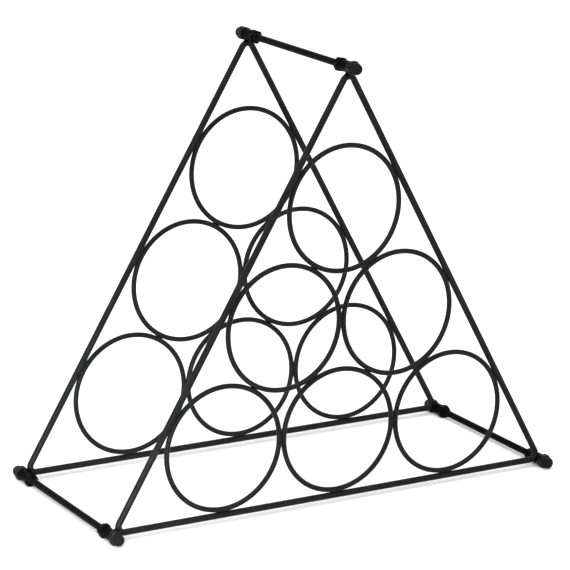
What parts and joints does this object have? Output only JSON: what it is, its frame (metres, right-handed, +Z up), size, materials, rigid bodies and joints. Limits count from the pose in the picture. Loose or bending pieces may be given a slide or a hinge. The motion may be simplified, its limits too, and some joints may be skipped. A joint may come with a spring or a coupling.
{
  "type": "wine rack",
  "caption": "Triangular wire wine rack that keeps bottles lying in stacked rings; its side frames are held apart by cross rods clamped with nuts.",
  "frame": {"origin": "on the ground under the middle of the rack, where the flats of the bottom nuts stand", "axes": "+X across the rack along its base, +Y from the front side frame to the rear one, along the cross rods, +Z up"},
  "size_m": [0.3968, 0.1794, 0.3443],
  "materials": {
    "frame_coat": "satin black powder coat on welded steel wire",
    "rod_coat": "deep black satin coat on steel rod",
    "fitting_coat": "deep black satin coat on the steel sleeves and nuts"
  },
  "bodies": {
    "root": {"front_frame": "frame_coat", "rear_frame": "frame_coat", "front_ring_bottom_left": "frame_coat", "front_ring_bottom_middle": "frame_coat", "front_ring_bottom_right": "frame_coat", "front_ring_middle_left": "frame_coat", "front_ring_middle_right": "frame_coat", "front_ring_top": "frame_coat", "rear_ring_bottom_left": "frame_coat", "rear_ring_bottom_middle": "frame_coat", "rear_ring_bottom_right": "frame_coat", "rear_ring_middle_left": "frame_coat", "rear_ring_middle_right": "frame_coat", "rear_ring_top": "frame_coat", "cross_rod_top": "rod_coat", "cross_rod_left": "rod_coat", "cross_rod_right": "rod_coat", "front_sleeve_top": "fitting_coat", "front_sleeve_left": "fitting_coat", "front_sleeve_right": "fitting_coat", "rear_sleeve_top": "fitting_coat", "rear_sleeve_left": "fitting_coat", "rear_sleeve_right": "fitting_coat", "front_hex_nut_top": "fitting_coat", "front_hex_nut_left": "fitting_coat", "front_hex_nut_right": "fitting_coat", "rear_hex_nut_top": "fitting_coat", "rear_hex_nut_left": "fitting_coat", "rear_hex_nut_right": "fitting_coat", "front_cap_nut_top": "fitting_coat", "front_cap_nut_left": "fitting_coat", "front_cap_nut_right": "fitting_coat", "rear_cap_nut_top": "fitting_coat", "rear_cap_nut_left": "fitting_coat", "rear_cap_nut_right": "fitting_coat"}
  },
  "joints": []
}
